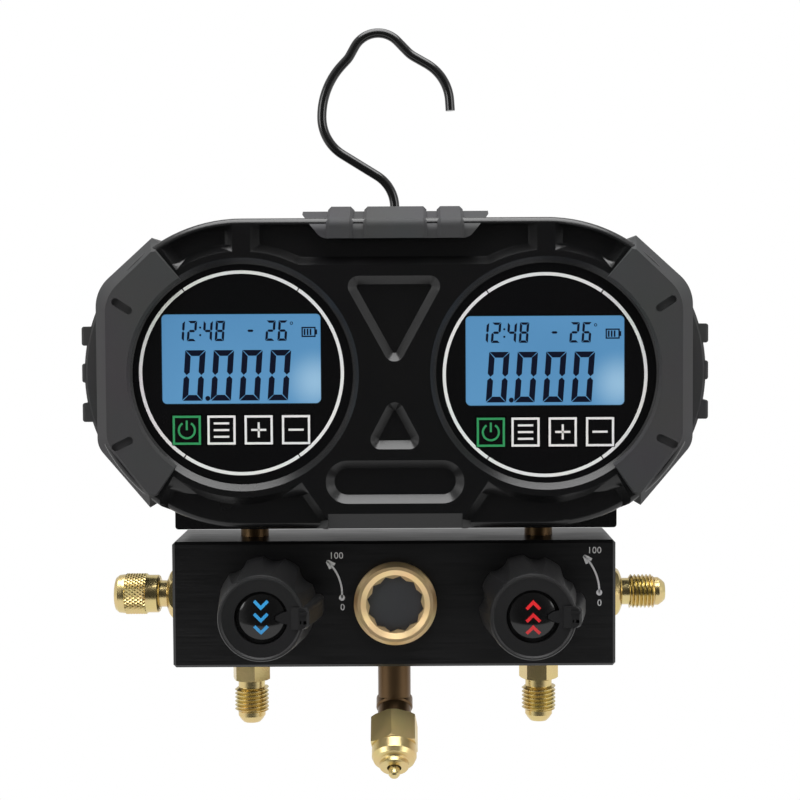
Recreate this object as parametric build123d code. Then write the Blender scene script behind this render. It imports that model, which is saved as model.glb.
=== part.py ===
from build123d import *
import os
from math import sin, cos, tan, radians, sqrt

os.makedirs("parts", exist_ok=True)

# Two-gauge refrigerant manifold, millimetres. The origin is where the hook's wire rests on a nail:
# on the hook's swivel axis, at the underside of the wire. X runs along the manifold to the side of
# the high-pressure gauge, Y runs from the front to the back and Z points up.

# ---- Driving dimensions -------------------------------------------------------------------------
GAUGE_X = 46.3            # each gauge's centre, either side of the middle
GAUGE_Z = -105.4
CASE_R = 47.4             # round ends of the case
CASE_HALF = 88.6          # flat sides, under the side bumpers
FACE_Y = -32.5            # front face of the case
SPLIT_Y = -16.0           # where front and rear shells meet
BACK_Y = 17.0             # back of the case
WALL = 2.6
RIM = 2.0                 # rounding of the front edge
BACK_EDGE = 4.0           # rounding of the back edge
CHANNEL_DEPTH = 3.0       # sunk channels round the gauges
CHANNEL_DRAFT = 40.0      # degrees, their sloping inner walls
COLLAR_R = 37.4           # top edge of the collar round each gauge
RECESS_DEPTH = 2.2        # shallow recesses between the gauges
RECESS_DRAFT = 49.0
CHAMBER_FRONT_Y = -27.3   # inside of the front wall

BEZEL_R = 35.5            # bezel at the face, sloping down to the faceplate
PLATE_R = 33.5            # printed faceplate
PLATE_Y = -30.5
PLATE_T = 1.5
LEDGE_R = 32.2
WINDOW = (48.2, 27.2)     # display window, width and height
DISPLAY_AT = {"low": (-46.7, -100.6), "high": (45.9, -101.6)}
KEY = (9.2, 9.4)
KEY_ROW = {"low": (-47.0, -122.3), "high": (45.8, -123.4)}
KEY_X = (-16.5, -5.9, 5.45, 16.85)     # from the middle of the row
KEY_NAMES = ("power", "menu", "plus", "minus")
KEY_GAP = 0.15
BOARD_R = 33.0
BOARD_T = 1.6

BLOCK_X = -0.75           # middle of the manifold block
BLOCK_HALF = 70.0
BLOCK_TOP = -158.6
BLOCK_BOTTOM = -198.6
BLOCK_Y = 16.0
BASE_TOP = -130.0         # foot of the case above the block
BASE_BOTTOM = -154.6
BASE_HALF = 69.5
POST_X = 46.0
POST_R = 4.5
PORT_Z = -177.5           # gallery and side ports
HOSE_X = 46.75            # hose fittings, from the block's middle
VALVE_X = {"low": -39.9, "high": 41.0}
VALVE_Z = -177.3
SIGHT_AT = (-0.3, -178.2)
GALLERY_R = 2.0
SHANK_R = 4.6             # part of each fitting inside the block
SHANK_L = 8.0
FIT = 0.02                # radial gap of parts screwed or pressed together
RUN = 0.05                # radial gap of parts that turn or slide
SIDE_NECK = 73.5          # where the side ports' hexagons end
FLARE_R = 5.55            # 7/16-20 UNF thread of a 1/4 inch SAE flare port

KNOB_FRONT = 48.0         # distances forward of the middle plane
KNOB_BACK = 22.0
KNOB_R = 12.7
KNOB_BASE_R = 15.2
KNOB_FLUTES = (37, 82, 127, 172, 217, 262, 307)
DISH = 47.2               # bottom of the dished face
POCKET_R = 8.0            # pocket for the insert
POCKET = 43.6
TONGUE = ((9.0, -2.2), (9.0, 2.2), (6.0, 1.5), (4.3, 0.5), (4.3, -0.5), (6.0, -1.5))
HEAD_SEAT = 41.3          # head of the knob's screw
BALL_R = 4.8
STEM_R = 2.5
STEM_END = 39.0
BONNET_R = 7.0

CHARGE_X = -1.0           # charging port
BRANCH_TILT = 45.0        # degrees forward from straight down
BRANCH_Z = -214.0
CORE_R = 2.3
PIN_R = 1.3

TOP_BUMPER_X = 0.45
BUMPER_CREST = -34.0      # front of the side bumpers
BUMPER_SHOULDER = -26.5   # where their bevel ends
LUG_OUT = -98.6

WIRE_R = 1.5              # hook
HOOK_PATH = ((0, -67.2), (-0.0, -46.2), (-23.3, -31.8), (-23.1, -14.2), (-14.5, -5.2),
             (-6.9, 8.4), (5.3, -4.2), (17.3, -11.0), (18.0, -22.1))
HOOK_BENDS = (11.9, 14, 24, 8, 8.6, 10, 14.5)

SCREWS = ((-74.9, -76.8), (74.9, -76.8), (-74.9, -134.0), (74.9, -134.0), (0, -84), (0, -140))
CELL_R = 5.2              # battery cells
CELL_L = 44.4
BAY = (47.0, 23.0)        # battery bay
DOOR = (51.0, 27.0)
DOOR_T = 1.8

SIDES = {"low": -1, "high": 1}


# ---- Shared shapes ------------------------------------------------------------------------------
def facing(y):
    """Plane at depth y seen from the front: sketch x is X, sketch y is Z."""
    return Plane(origin=(0, y, 0), x_dir=(1, 0, 0), z_dir=(0, -1, 0))


def slab(outline, front, back):
    """Solid of an outline between two depths."""
    return extrude(facing(back) * outline, amount=back - front)


def outline_of(*points):
    return make_face(Polyline(*points, close=True))


def turned(*corners):
    """Round solid about Z from its half section, as (radius, height) corners."""
    return revolve(Plane.XZ * outline_of(*corners), Axis.Z)


def rod(radius, start, end):
    """Cylinder along Z between two heights."""
    return Pos(0, 0, (start + end) / 2) * Cylinder(radius, abs(end - start))


def hexagon(across, start, end, turn=0):
    """Hexagonal bar along Z with its corners eased by a cone at each end."""
    bar = Pos(0, 0, start) * extrude(RegularPolygon(across / 2, 6, major_radius=False, rotation=turn), end - start)
    corner = across / sqrt(3)
    ease = corner - across / 2
    edge = across / 2 + 0.35 * ease
    drop = (corner - edge) * 0.6
    cone = turned((0, start), (edge, start), (corner, start + drop), (corner, end - drop), (edge, end), (0, end))
    return bar & cone


def forward_axis(x, z):
    """Frame at the middle plane whose Z points out of the front."""
    return Plane(origin=(x, 0, z), x_dir=(1, 0, 0), z_dir=(0, -1, 0))


def side_axis(side):
    """Frame on the gallery's line whose Z points out of the left or right end."""
    return Plane(origin=(BLOCK_X, 0, PORT_Z), x_dir=(0, 1, 0), z_dir=(side, 0, 0))


def down_axis(x):
    """Frame under the block whose Z points down."""
    return Plane(origin=(x, 0, 0), x_dir=(1, 0, 0), z_dir=(0, 0, -1))


def valve_axis(side):
    return forward_axis(VALVE_X[side], VALVE_Z)


def hose_axis(side):
    return down_axis(BLOCK_X + side * HOSE_X)


def branch_axis():
    """Frame of the charging port: Z points down and forward."""
    tilt = radians(BRANCH_TILT)
    return Plane(origin=(CHARGE_X, 0, BRANCH_Z), x_dir=(1, 0, 0), z_dir=(0, -sin(tilt), -cos(tilt)))


def case_outline(grow=0.0):
    """Outline of the case: a slot form with flat sides."""
    slot = Pos(0, GAUGE_Z) * SlotCenterToCenter(2 * GAUGE_X, 2 * (CASE_R + grow))
    return slot & (Pos(0, GAUGE_Z) * Rectangle(2 * (CASE_HALF + grow), 3 * CASE_R))


def gauge_at(side, radius):
    return Pos(SIDES[side] * GAUGE_X, GAUGE_Z) * Circle(radius)


def key_centres(side):
    x, z = KEY_ROW[side]
    return [(x + offset_x, z) for offset_x in KEY_X]


def sunk(outline, depth, draft):
    """Cutter for a recess in the face whose walls slope in towards its floor."""
    return extrude(facing(FACE_Y) * outline, amount=depth, dir=(0, 1, 0), taper=draft)


# ---- Case ---------------------------------------------------------------------------------------
def case_front(face=FACE_Y):
    """Front half of the case as a solid, with its rounded rim, for any depth of its face."""
    body = slab(case_outline(), face, SPLIT_Y)
    return fillet(body.faces().sort_by(Axis.Y)[0].edges(), RIM)


def case_back():
    """Back half of the case as a solid, with the foot above the block."""
    body = slab(case_outline(), SPLIT_Y, BACK_Y)
    body = fillet(body.faces().sort_by(Axis.Y)[-1].edges(), BACK_EDGE)
    foot = Pos(0, (BASE_BOTTOM + BASE_TOP) / 2) * Rectangle(2 * BASE_HALF, BASE_TOP - BASE_BOTTOM)
    foot = slab(foot, SPLIT_Y, BACK_Y - 1)
    return body + fillet(foot.edges().filter_by(Axis.Y).sort_by(Axis.Z)[:2], 1.0)


def bumper_footprint(inset):
    """Left bumper from the front. The inset brings in its outer edges."""
    slant = 0.7 * inset
    corners = ((-74.1 + 0.2 * inset, -63.5 - 1.1 * inset), (-91.6 + inset, -79.4 - 0.5 * inset),
               (-91.6 + inset, -127.5 + 0.5 * inset), (-75.6 + 0.2 * inset, -146.4 + 1.1 * inset),
               (-72.2 - 0.1 * slant, -144.4 + slant), (-62.0, -126.5), (-46.3, -105.4), (-61.2, -80.4),
               (-71.8 - 0.1 * slant, -65.0 - slant))
    bends = {1: 12.0, 2: 7.0}
    face = outline_of(*corners)
    for index, radius in bends.items():
        x, z = corners[index]
        corner = face.vertices().sort_by_distance((x, z, 0))[0]
        face = fillet(corner, radius)
    return face


def channel_zone(grow):
    """Face of the case outside the gauges' collars, grown past its outline or kept inside it."""
    zone = case_outline(grow)
    for side in SIDES:
        zone -= gauge_at(side, COLLAR_R)
    return zone


def cut_upper_channels(body):
    """Channels across the top and at the outer corners. Only their inner walls slope."""
    zone = channel_zone(CHANNEL_DEPTH * tan(radians(CHANNEL_DRAFT)) - RIM)
    top = zone & (Pos(0, -60) * Rectangle(86.8, 24.4))
    outer = zone & outline_of((-48.9, -50), (-48.9, -75), (-70, -82), (-95, -82), (-95, -50))
    outer -= bumper_footprint(0.0)
    inside = slab(case_outline(-RIM), FACE_Y - 1, SPLIT_Y)
    for outline in (top, outer, mirror(outer, Plane.YZ)):
        for face in outline.faces():
            body -= sunk(face, CHANNEL_DEPTH, CHANNEL_DRAFT) & inside
    return body


def cut_lower_channels(body):
    """Channels below the gauges. They run out through the edge of the case, which is rounded again."""
    below = outline_of((-28.4, -138.3), (-20.5, -149.8), (-20.5, -170), (-78, -170), (-78, -147.8), (-72.2, -144.4),
                       (-62.0, -126.5), (-50, -126.5))
    below &= channel_zone(12)
    deep_case = case_front(FACE_Y + CHANNEL_DEPTH)
    for outline in (below, mirror(below, Plane.YZ)):
        for face in outline.faces():
            body -= sunk(face, CHANNEL_DEPTH + RIM, CHANNEL_DRAFT) - deep_case
    return body


def face_recesses():
    """Two triangles and a slot sunk into the panel between the gauges."""
    large = fillet(outline_of((-16.2, -75.6), (16.2, -75.6), (0, -105.0)).vertices(), 3.2)
    small = fillet(outline_of((-9.4, -128.3), (9.4, -128.3), (0, -110.6)).vertices(), 3.0)
    slot = Pos(0, -138.3) * SlotOverall(42.2, 13.2)
    return [large, small, slot]


def front_shell():
    body = case_front()
    body = cut_upper_channels(body)
    body = cut_lower_channels(body)
    for outline in face_recesses():
        body -= sunk(outline, RECESS_DEPTH, RECESS_DRAFT)
    apron = outline_of((FACE_Y - 1, -148.0), (FACE_Y, -148.0), (FACE_Y + 3.0, -153.6), (FACE_Y + 3.0, -155),
                       (FACE_Y - 1, -155))
    body -= Plane.YZ * extrude(apron, 20.5, both=True)
    body -= slab(case_outline(-WALL), CHAMBER_FRONT_Y, SPLIT_Y)
    for side in SIDES:
        x = SIDES[side] * GAUGE_X
        cone = turned((0, 0), (LEDGE_R, 0), (LEDGE_R, 29.0), (PLATE_R + 0.1, 29.0), (PLATE_R + 0.1, -PLATE_Y),
                      (BEZEL_R, -FACE_Y), (BEZEL_R, 40), (0, 40))
        body -= forward_axis(x, GAUGE_Z) * cone
    for x, z in SCREWS:
        post = forward_axis(x, z) * rod(3.2, -SPLIT_Y, -CHAMBER_FRONT_Y)
        pilot = forward_axis(x, z) * rod(1.35 + FIT, -SPLIT_Y, -SPLIT_Y + 9)
        body = body + post - pilot
    return body


def rear_shell():
    body = case_back() - slab(case_outline(-WALL), SPLIT_Y, BACK_Y - WALL)
    for side in SIDES:
        body += battery_bay(side)
        body -= down_axis(SIDES[side] * POST_X) * rod(POST_R + 0.2, 148, 160)
    for x, z in SCREWS:
        body += forward_axis(x, z) * rod(3.6, -BACK_Y + 0.5, -SPLIT_Y)
        body -= forward_axis(x, z) * rod(1.6, -BACK_Y - 1, -SPLIT_Y + 1)
        body -= forward_axis(x, z) * rod(2.9, -BACK_Y - 1, -BACK_Y + 3)
    body -= rod(3.95, -70, -50)
    return body


def battery_bay(side):
    """Walls of one battery bay inside the rear shell, already cut out for the cells and the door."""
    x = SIDES[side] * GAUGE_X
    width, height = BAY
    walls = Pos(x, GAUGE_Z) * Rectangle(width + 3.2, height + 3.2)
    return slab(walls, 1.4, BACK_Y - WALL + 0.1)


def cut_battery_bay(body, side):
    x = SIDES[side] * GAUGE_X
    bay = Pos(x, GAUGE_Z) * Rectangle(*BAY)
    door = Pos(x, GAUGE_Z) * Rectangle(DOOR[0] + 0.4, DOOR[1] + 0.4)
    body -= slab(bay, 3.0, BACK_Y + 1)
    return body - slab(door, BACK_Y - DOOR_T - 0.1, BACK_Y + 1)


def battery_door(side):
    """Flush door that tips out about its lower edge, with a finger notch at the top."""
    x = SIDES[side] * GAUGE_X
    plate = slab(Pos(x, GAUGE_Z) * RectangleRounded(DOOR[0], DOOR[1], 1.5), BACK_Y - DOOR_T, BACK_Y)
    notch = Pos(x, BACK_Y, GAUGE_Z + DOOR[1] / 2 - 3.5) * Rot(0, 90, 0) * Cylinder(1.6, 12)
    plate -= notch
    ridges = [Pos(x, BACK_Y - 0.2, GAUGE_Z - 4 * i) * Box(24, 0.6, 1.2) for i in range(3)]
    for ridge in ridges:
        plate -= ridge
    return plate


def batteries(side):
    """Two cells lying side by side, each with its nub."""
    x = SIDES[side] * GAUGE_X
    cells = []
    for row, turn in ((-1, 1), (1, -1)):
        cell = turned((0, -CELL_L / 2), (CELL_R, -CELL_L / 2), (CELL_R, CELL_L / 2 - 0.8), (1.9, CELL_L / 2 - 0.8),
                      (1.9, CELL_L / 2), (0, CELL_L / 2))
        lying = Plane(origin=(x, 8.4, GAUGE_Z + row * 5.5), x_dir=(0, 1, 0), z_dir=(turn, 0, 0))
        cells.append(lying * cell)
    return Compound(children=cells)


def side_bumper():
    """Left bumper: a bevelled cheek round the end of the case, with two slots and three grip lugs."""
    outer = facing(BUMPER_SHOULDER) * bumper_footprint(0.0)
    cheek = loft([outer, facing(BUMPER_CREST) * bumper_footprint(4.2)], ruled=True)
    body = cheek + slab(bumper_footprint(0.0), BUMPER_SHOULDER, BACK_Y - 2)
    band = (Pos(-GAUGE_X, GAUGE_Z) * Circle(CASE_R + 4.0)) & (Pos(-90, -105.3) * Rectangle(20, 43))
    body += chamfer(slab(band, -15, 1).faces().sort_by(Axis.Y)[0].edges().sort_by(Axis.X)[0], 1.0)
    for z in (-93.6, -105.2, -117.6):
        lug = Pos(LUG_OUT + 3.2, -8, z) * Box(6.4, 13, 6.0)
        body += fillet(lug.edges().filter_by(Axis.Y) + lug.faces().sort_by(Axis.X)[0].edges(), 1.0)
    for x, z, turn in ((-82.3, -84.45, 33), (-82.7, -126.2, -26)):
        groove = slab(SlotCenterToCenter(4.6, 2.4), BUMPER_CREST - 1, BUMPER_CREST + 1.2)
        body -= Pos(x, 0, z) * Rot(0, turn, 0) * groove
    body = body - case_front() - case_back()
    edge = PLATE_R + 0.1
    mouth = turned((0, 10), (edge, 10), (edge, -PLATE_Y + 1.0), (edge + 1.3, -BUMPER_CREST + 0.1), (edge + 1.3, 40),
                   (0, 40))
    return body - forward_axis(-GAUGE_X, GAUGE_Z) * mouth


def saddle(front, crown, bends):
    """Profile of the top bumper or its pads, from the front lip over the crown to the back."""
    face = outline_of((front, -66), (front, crown - 5.0), (-21.0, crown), (7.0, crown), (12, crown - 3.5), (12, -66))
    corners = face.vertices().sort_by(Axis.Y)[-4:]
    return fillet(corners, bends)


def top_bumper():
    """Rubber saddle over the top edge, with three raised pads."""
    silhouette = outline_of((-28.6, -50), (-28.6, -56.6), (-22.4, -64.3), (22.4, -64.3), (28.6, -56.6), (28.6, -50))
    silhouette = fillet(silhouette.vertices().sort_by(Axis.Y)[:2], 4.0)
    body = extrude(Plane.YZ * saddle(-34.0, -55.4, 2.5), 30, both=True)
    for middle, half in ((-16.8, 4.0), (0.0, 9.6), (16.8, 4.0)):
        pad = Plane.YZ.offset(middle) * extrude(saddle(-35.0, -53.9, 2.5), half, both=True)
        sides = pad.faces().filter_by(Axis.X)
        body += chamfer(sides.edges(), 1.0)
    body = Pos(TOP_BUMPER_X, 0, 0) * (body & slab(silhouette, -40, 14))
    return body - case_front() - case_back() - rod(WIRE_R + 0.4, -70, -50)


def housing_screws():
    screws = []
    for x, z in SCREWS:
        shank = rod(1.35, -BACK_Y + 3, -SPLIT_Y + 8)
        head = rod(2.7, -BACK_Y + 1.2, -BACK_Y + 3)
        screws.append(forward_axis(x, z) * (shank + head))
    return Compound(children=screws)


# ---- Gauges -------------------------------------------------------------------------------------
def faceplate(side):
    plate = slab(gauge_at(side, PLATE_R), PLATE_Y, PLATE_Y + PLATE_T)
    window = Pos(*DISPLAY_AT[side]) * RectangleRounded(WINDOW[0] + 0.3, WINDOW[1] + 0.3, 1.5)
    plate -= slab(window, PLATE_Y - 1, PLATE_Y + PLATE_T + 1)
    for x, z in key_centres(side):
        hole = Pos(x, z) * Rectangle(KEY[0] + 2 * KEY_GAP, KEY[1] + 2 * KEY_GAP)
        plate -= slab(hole, PLATE_Y - 1, PLATE_Y + PLATE_T + 1)
    return plate


def display(side):
    glass = slab(Pos(*DISPLAY_AT[side]) * RectangleRounded(*WINDOW, 1.4), PLATE_Y + 0.1, CHAMBER_FRONT_Y)
    return glass


def board(side):
    return slab(gauge_at(side, BOARD_R), CHAMBER_FRONT_Y, CHAMBER_FRONT_Y + BOARD_T)


def key(x, z):
    """Key cap with a flange behind the faceplate that keeps it in."""
    cap = slab(Pos(x, z) * RectangleRounded(*KEY, 0.4), PLATE_Y - 0.1, PLATE_Y + PLATE_T + 0.4)
    flange = slab(Pos(x, z) * Rectangle(KEY[0] + 0.9, KEY[1] + 0.9), PLATE_Y + PLATE_T + 0.1, PLATE_Y + PLATE_T + 0.6)
    return cap + flange


def pressure_sensor(side):
    """Post from the block into the case, with the hexagonal sensor body on top."""
    top = 134.0
    body = rod(POST_R, 148, -BLOCK_TOP + SHANK_L)
    body += hexagon(17, 138, 148.4)
    body += turned((0, top), (5.2, top), (6.0, top + 0.8), (6.0, 138), (0, 138))
    body -= rod(1.5, 145, 170)
    return down_axis(SIDES[side] * POST_X) * body


# ---- Hook ---------------------------------------------------------------------------------------
def hook():
    points = [(x, 0, z) for x, z in HOOK_PATH]
    path = FilletPolyline(*points, radius=list(HOOK_BENDS))
    start = Plane(origin=path @ 0, z_dir=path % 0)
    return sweep(start * Circle(WIRE_R), path)


def hook_bush():
    """Brass bush in the top wall: a sleeve with a flange on the inside."""
    top = GAUGE_Z + CASE_R
    under = top - WALL
    return turned((WIRE_R + RUN, under - 2), (5.6, under - 2), (5.6, under), (3.93, under), (3.93, top - 0.1),
                  (WIRE_R + RUN, top - 0.1))


def hook_retainer():
    under = GAUGE_Z + CASE_R - WALL - 2
    return turned((WIRE_R, under - 2.6), (3.4, under - 2.6), (3.8, under - 2.2), (3.8, under - 0.2),
                  (WIRE_R, under - 0.2))


# ---- Manifold -----------------------------------------------------------------------------------
def manifold_block():
    height = BLOCK_TOP - BLOCK_BOTTOM
    body = Pos(BLOCK_X, 0, (BLOCK_TOP + BLOCK_BOTTOM) / 2) * Box(2 * BLOCK_HALF, 2 * BLOCK_Y, height)
    body = chamfer(body.edges(), 0.9)
    body -= side_axis(1) * rod(GALLERY_R, -BLOCK_HALF, BLOCK_HALF)
    for name, side in SIDES.items():
        body -= side_axis(side) * rod(SHANK_R + FIT, BLOCK_HALF - SHANK_L, BLOCK_HALF + 1)
        body -= hose_axis(side) * rod(SHANK_R + FIT, -BLOCK_BOTTOM - SHANK_L, -BLOCK_BOTTOM + 1)
        body -= hose_axis(side) * rod(GALLERY_R, -PORT_Z, -BLOCK_BOTTOM)
        body -= down_axis(side * POST_X) * rod(POST_R + FIT, -BLOCK_TOP - 1, -BLOCK_TOP + SHANK_L)
        body -= down_axis(side * POST_X) * rod(GALLERY_R, -BLOCK_TOP, -PORT_Z)
        valve = valve_axis(name)
        body -= valve * rod(BALL_R + 0.3, -BALL_R - 0.3, 8)
        body -= valve * rod(BONNET_R + FIT, 6, BLOCK_Y + 1)
        seats = Plane(origin=(VALVE_X[name], 0, VALVE_Z), x_dir=(0, 1, 0), z_dir=(1, 0, 0))
        body -= seats * rod(3.5, -6.2, 6.2)
    body -= forward_axis(*SIGHT_AT) * rod(11.0 + FIT, 4, BLOCK_Y + 1)
    body -= forward_axis(*SIGHT_AT) * rod(GALLERY_R, 0, 5)
    body -= down_axis(CHARGE_X) * rod(SHANK_R + FIT, -BLOCK_BOTTOM - SHANK_L, -BLOCK_BOTTOM + 1)
    return body - down_axis(CHARGE_X) * rod(GALLERY_R, -PORT_Z, -BLOCK_BOTTOM)


def bonnet(side):
    """Screwed plug over the valve, which guides the stem."""
    shape = turned((STEM_R + RUN, 6.2), (BONNET_R, 6.2), (BONNET_R, 16), (9.2, 16), (9.2, 18.6), (8.6, 19.2),
                   (STEM_R + RUN, 19.2))
    shape -= rod(STEM_R + 1.6 + FIT, 6, 8.6)
    return valve_axis(side) * shape


def stem_packing(side):
    ring = rod(STEM_R + 1.6, 6.4, 8.6) - rod(STEM_R + RUN, 6, 9)
    return valve_axis(side) * ring


def valve_ball(side):
    """Ball with its bore across the gallery when shut and a slot for the stem's tongue."""
    ball = Sphere(BALL_R)
    ball -= Rot(90, 0, 0) * Cylinder(GALLERY_R, 3 * BALL_R)
    ball -= Pos(0, 0, BALL_R) * Box(2.0, 9, 2.4)
    return valve_axis(side) * ball


def ball_seats(side):
    """Two soft rings that the ball seals against."""
    rings = []
    for way in (-1, 1):
        ring = rod(3.45, way * 3.2, way * 6.1) - rod(GALLERY_R, -9, 9) - Sphere(BALL_R + RUN)
        seat = Plane(origin=(VALVE_X[side], 0, VALVE_Z), x_dir=(0, 1, 0), z_dir=(1, 0, 0))
        rings.append(seat * ring)
    return Compound(children=rings)


def stem_flat(gap):
    """What the flat near the stem's end leaves out, or fills in the knob when set back by the gap."""
    return Pos(0, STEM_R + 0.9 + gap, 34.5) * Box(6, 3, 11)


def valve_stem(side):
    """Stem with a tongue in the ball, a flat for the knob and a hole for the knob's screw."""
    stem = rod(STEM_R, 4.9, STEM_END) + Pos(0, 0, 4.4) * Box(1.8, 4.2, 1.4)
    stem = stem - stem_flat(0.0) - rod(1.5 + FIT, 33, STEM_END + 1)
    return valve_axis(side) * stem


def pointer():
    """Nose at one side of the knob, with a rib and a slot on its front."""
    front = KNOB_FRONT + 0.2
    tip = outline_of((8, KNOB_BACK + 1), (17.4, KNOB_BACK + 1), (17.3, KNOB_BACK + 8), (14.4, front - 0.8),
                     (13.6, front), (11.2, front), (9, DISH + 0.5))
    nose = extrude(Plane.XZ * tip, 3.3, both=True)
    long_edges = nose.edges().filter_by(Axis.Y, reverse=True).filter_by_position(Axis.X, 14, 18)
    nose = fillet(long_edges, 1.6)
    nose += Pos(12.6, 1.5, front) * Box(2.6, 0.9, 0.8)
    return nose - Pos(12.6, -1.2, front) * Box(2.0, 1.0, 2.4)


def knob(side):
    """Fluted knob with a dished face, whose flutes fade out towards a round front rim."""
    body = turned((0, KNOB_BACK), (KNOB_BASE_R - 0.7, KNOB_BACK), (KNOB_BASE_R, KNOB_BACK + 0.7),
                  (KNOB_BASE_R, KNOB_BACK + 5), (KNOB_R + 0.3, KNOB_FRONT - 0.8), (KNOB_R, KNOB_FRONT - 0.2),
                  (KNOB_R - 0.5, KNOB_FRONT), (KNOB_R - 1.0, KNOB_FRONT - 0.4), (POCKET_R + 0.3, DISH), (0, DISH))
    for angle in KNOB_FLUTES:
        back = Pos(19.2, 0, KNOB_BACK - 1) * Circle(5.5)
        front = Pos(16.0, 0, KNOB_FRONT + 1) * Circle(3.0)
        body -= Rot(0, 0, angle) * loft([back, front])
    body += pointer()
    tongue = Pos(0, 0, POCKET) * extrude(outline_of(*TONGUE), DISH - POCKET)
    body = body - rod(POCKET_R, POCKET, KNOB_FRONT) + tongue
    body -= rod(STEM_R + FIT, KNOB_BACK - 1, STEM_END + 0.3) - stem_flat(FIT)
    body -= rod(1.6, STEM_END, POCKET)
    body -= rod(3.2, HEAD_SEAT, POCKET + 1)
    body -= rod(9.8, KNOB_BACK - 1, KNOB_BACK + 8) - rod(5.2, KNOB_BACK, KNOB_BACK + 8)
    return valve_axis(side) * body


def knob_insert(side):
    """Domed cap in the knob's pocket, notched for the tongue that comes from the pointer."""
    crown = 47.4
    dome_r = 17.6
    cap = rod(POCKET_R - 0.25, POCKET, crown + 1) & (Pos(0, 0, crown - dome_r) * Sphere(dome_r))
    notch = Pos(0, 0, POCKET - 1) * extrude(offset(outline_of(*TONGUE), 0.25), 6)
    return valve_axis(side) * (cap - notch)


def knob_screw(side):
    screw = rod(3.0, HEAD_SEAT, HEAD_SEAT + 2.0) + rod(1.5, 33.4, HEAD_SEAT)
    return valve_axis(side) * screw


def sight_glass_ring():
    """Screwed ring with a bevelled rim, a dished face and a star-shaped opening for its key."""
    ring = turned((7.0, 5), (11.0, 5), (11.0, 16), (13.05, 16), (13.05, 18.2), (11.9, 19.6), (10.9, 19.6),
                  (9.2, 18.7), (7.0, 18.7))
    ring -= rod(9.3, 4, 17.6)
    points = []
    for i in range(12):
        for radius, turn in ((9.0, 20), (8.05, 35)):
            angle = radians(turn + 30 * i)
            points.append((radius * cos(angle), radius * sin(angle)))
    star = extrude(outline_of(*points), 20)
    return forward_axis(*SIGHT_AT) * (ring - star)


def sight_glass():
    """Glass held by the ring, seen through its star-shaped opening."""
    glass = rod(9.1, 10, 17.3)
    return forward_axis(*SIGHT_AT) * glass


def sight_glass_seal():
    return forward_axis(*SIGHT_AT) * (rod(9.1, 8, 9.9) - rod(6.6, 7, 11))


# ---- Ports --------------------------------------------------------------------------------------
def flare_end(start, thread_end, nose_end, nose_r=4.5):
    """Neck, threaded length and blunt nose of a flare port, with its bore."""
    neck = start + 2.5
    nose = nose_end - thread_end
    return turned((1.9, start), (4.3, start), (4.3, neck), (FLARE_R - 0.4, neck), (FLARE_R, neck + 0.4),
                  (FLARE_R, thread_end - 0.4), (FLARE_R - 0.5, thread_end), (nose_r, thread_end),
                  (nose_r, thread_end + 0.4 * nose), (nose_r - 0.8, thread_end + 0.75 * nose),
                  (nose_r - 1.6, nose_end), (1.9, nose_end))


def shank(face):
    return rod(SHANK_R, face - SHANK_L, face) - rod(1.9, face - 20, face + 1)


def side_port(side, turn, thread_end, nose_end):
    """Port at one end of the block, with a hexagon that rounds away towards its neck."""
    nut = hexagon(14.3, BLOCK_HALF, SIDE_NECK, turn)
    nut &= turned((0, BLOCK_HALF), (8.3, BLOCK_HALF), (8.3, 71.2), (7.8, 72.0), (6.8, 72.8), (5.2, SIDE_NECK),
                  (0, SIDE_NECK))
    body = shank(BLOCK_HALF) + nut - rod(1.9, 60, 80)
    return side_axis(side) * (body + flare_end(SIDE_NECK, thread_end, nose_end))


def port_cap():
    """Dust cap screwed over the left flare: collar, grip and rounded end."""
    outer = turned((0, 76.3), (5.8, 76.3), (6.1, 76.7), (6.1, 79.8), (6.4, 80.0), (6.7, 80.2), (6.7, 87.3),
                   (6.3, 87.7), (6.1, 89.3), (5.3, 90.3), (4.4, 90.6), (0, 90.6))
    return side_axis(-1) * (outer - rod(FLARE_R + RUN, 76, 89.2))


def cap_seal():
    return side_axis(-1) * rod(FLARE_R - 0.1, 87.5, 89.15)


def hose_fitting(side, turn):
    body = shank(-BLOCK_BOTTOM) + hexagon(11.0, -BLOCK_BOTTOM, 205.6, turn) - rod(1.9, 190, 210)
    return hose_axis(SIDES[side]) * (body + flare_end(205.6, 216.0, 219.5, 4.4))


def charging_elbow():
    """Elbow under the block, ending in a hexagon and a stepped barrel that points down and forward."""
    stub = rod(SHANK_R, -BLOCK_BOTTOM - SHANK_L, -BLOCK_BOTTOM) + rod(5.3, -BLOCK_BOTTOM, -BRANCH_Z)
    stub = down_axis(CHARGE_X) * (stub + rod(5.8, -BLOCK_BOTTOM, -BLOCK_BOTTOM + 1.0))
    branch = Sphere(5.4) + rod(5.4, 0, 8)
    branch += turned((0, -2.4), (5.5, -2.4), (5.9, -1.8), (5.9, 1.4), (5.5, 2.0), (0, 2.0))
    nut = hexagon(14.2, 6.6, 16.4, 36)
    barrel = turned((0, 16.4), (7.15, 16.4), (7.15, 19.8), (6.5, 21.2), (4.9, 21.6), (4.65, 22.0), (4.65, 23.4),
                    (4.3, 23.8), (0, 23.8))
    body = stub + branch_axis() * (branch + nut + barrel)
    body -= branch_axis() * rod(3.4, 8, 21.0)
    body -= branch_axis() * rod(CORE_R, 20, 30)
    body -= branch_axis() * rod(GALLERY_R, 0, 9)
    return body - down_axis(CHARGE_X) * rod(GALLERY_R, 180, -BRANCH_Z)


def charging_core():
    """Sleeve of the valve core inside the barrel."""
    sleeve = turned((PIN_R + RUN, 9.0), (3.38, 9.0), (3.38, 20.3), (PIN_R + RUN, 20.3))
    sleeve -= rod(2.2, 13, 19.0)
    return branch_axis() * sleeve


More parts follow.
